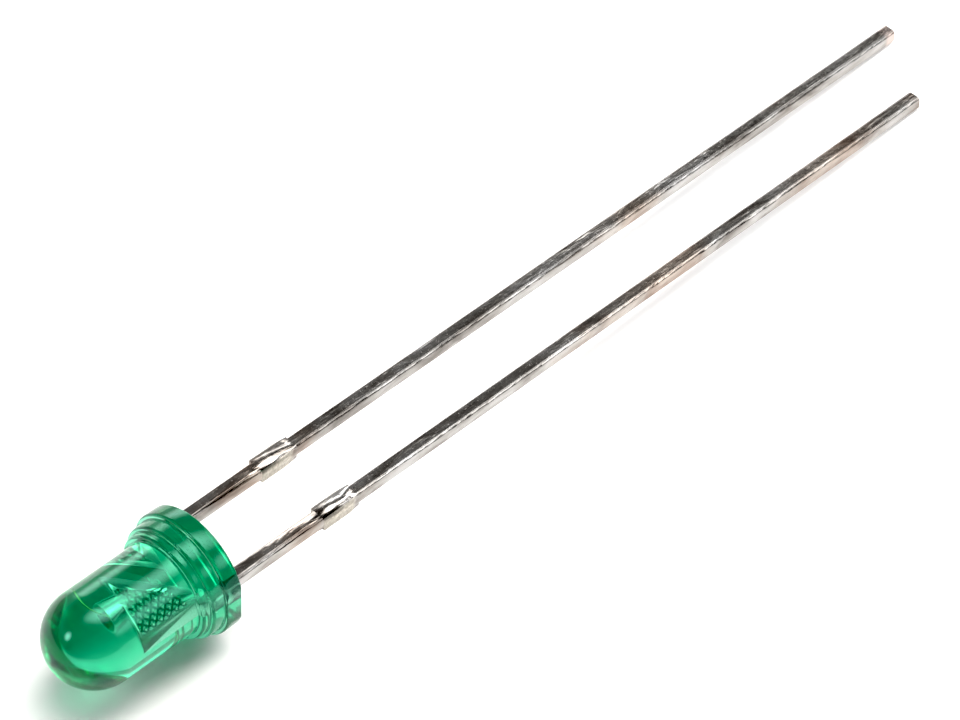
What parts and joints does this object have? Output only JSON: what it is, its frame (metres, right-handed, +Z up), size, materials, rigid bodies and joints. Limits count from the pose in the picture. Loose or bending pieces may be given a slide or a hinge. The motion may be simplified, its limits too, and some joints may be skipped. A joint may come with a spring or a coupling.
{
  "type": "through-hole light-emitting diode",
  "caption": "Round clear green light-emitting diode with a domed epoxy lens, stepped flange with a cathode flat, and long square leads, the anode longer.",
  "frame": {"origin": "middle of the footprint on the ground, with the diode lying on its flange rim and its two lead tips", "axes": "+Z up with the coined face of the leadframe upward, +X towards the lead tips, cathode and flange flat towards -Y; the lens axis slopes 3.6 degrees down towards +X"},
  "size_m": [0.036, 0.0038, 0.004],
  "materials": {
    "epoxy": "clear cast epoxy, tinted green, glossy",
    "tinned_lead": "tin-plated steel, smooth with fine mottling",
    "die": "sawn semiconductor crystal, smooth",
    "silver_epoxy": "silver-filled epoxy, matt",
    "gold_wire": "bright drawn gold"
  },
  "bodies": {
    "root": {"lens_body": "epoxy", "cathode_lead": "tinned_lead", "anode_lead": "tinned_lead", "led_die": "die", "die_attach": "silver_epoxy", "bond_wire": "gold_wire"}
  },
  "joints": []
}
